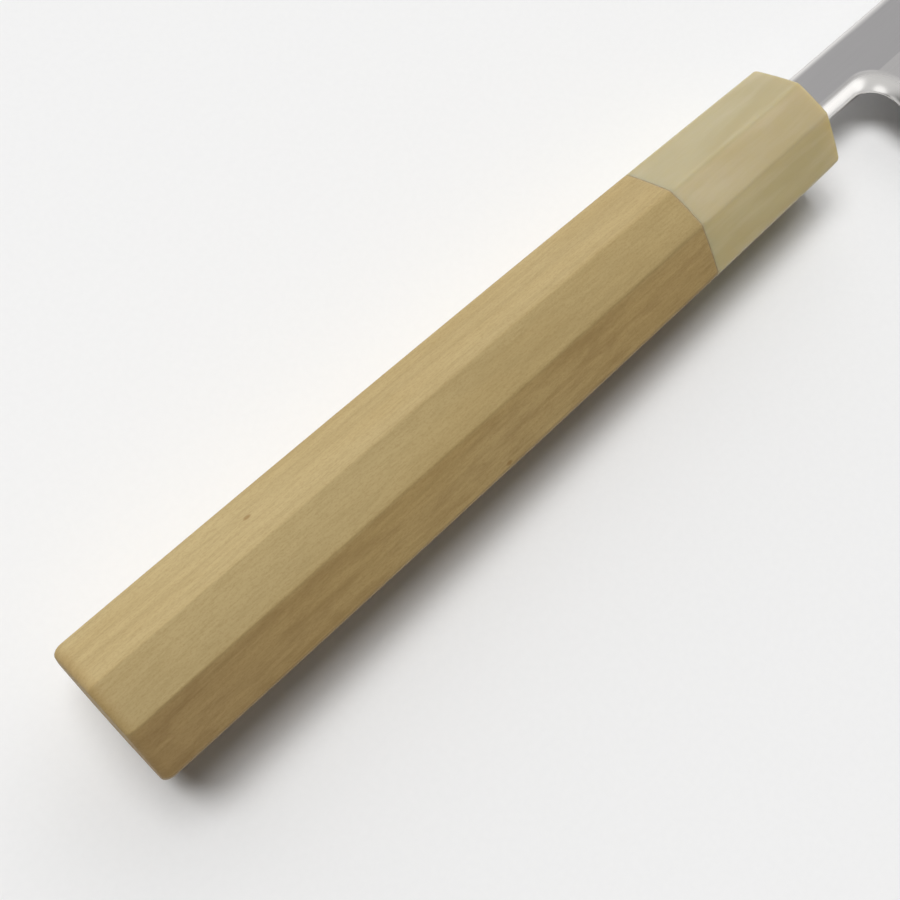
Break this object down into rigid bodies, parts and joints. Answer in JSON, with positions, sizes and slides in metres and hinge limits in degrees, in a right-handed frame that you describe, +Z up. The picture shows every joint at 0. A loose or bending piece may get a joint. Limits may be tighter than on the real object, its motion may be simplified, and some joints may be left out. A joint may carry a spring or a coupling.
{
  "type": "chef knife",
  "caption": "Japanese-pattern chef knife with an eight-sided wooden handle, a pale horn ferrule and a satin steel blade with a polished choil, lying on its side.",
  "frame": {"origin": "on the table, below the middle of the knife's box, with the knife lying on its side as it rests", "axes": "+X along the knife to the tip, +Y to the spine side, +Z up from the table"},
  "size_m": [0.405, 0.0538, 0.025],
  "materials": {
    "blade_steel": "satin flats with a polished neck and choil",
    "horn": "pale buffalo horn, polished",
    "magnolia_wood": "fine sanded, bare",
    "joint_glue": "dark dried glue",
    "dowel_wood": "turned, bare",
    "epoxy": "cured resin"
  },
  "bodies": {
    "root": {"blade": "blade_steel", "ferrule": "horn", "handle": "magnolia_wood", "glue_line": "joint_glue", "core_dowel": "dowel_wood", "tang_epoxy": "epoxy"}
  },
  "joints": []
}
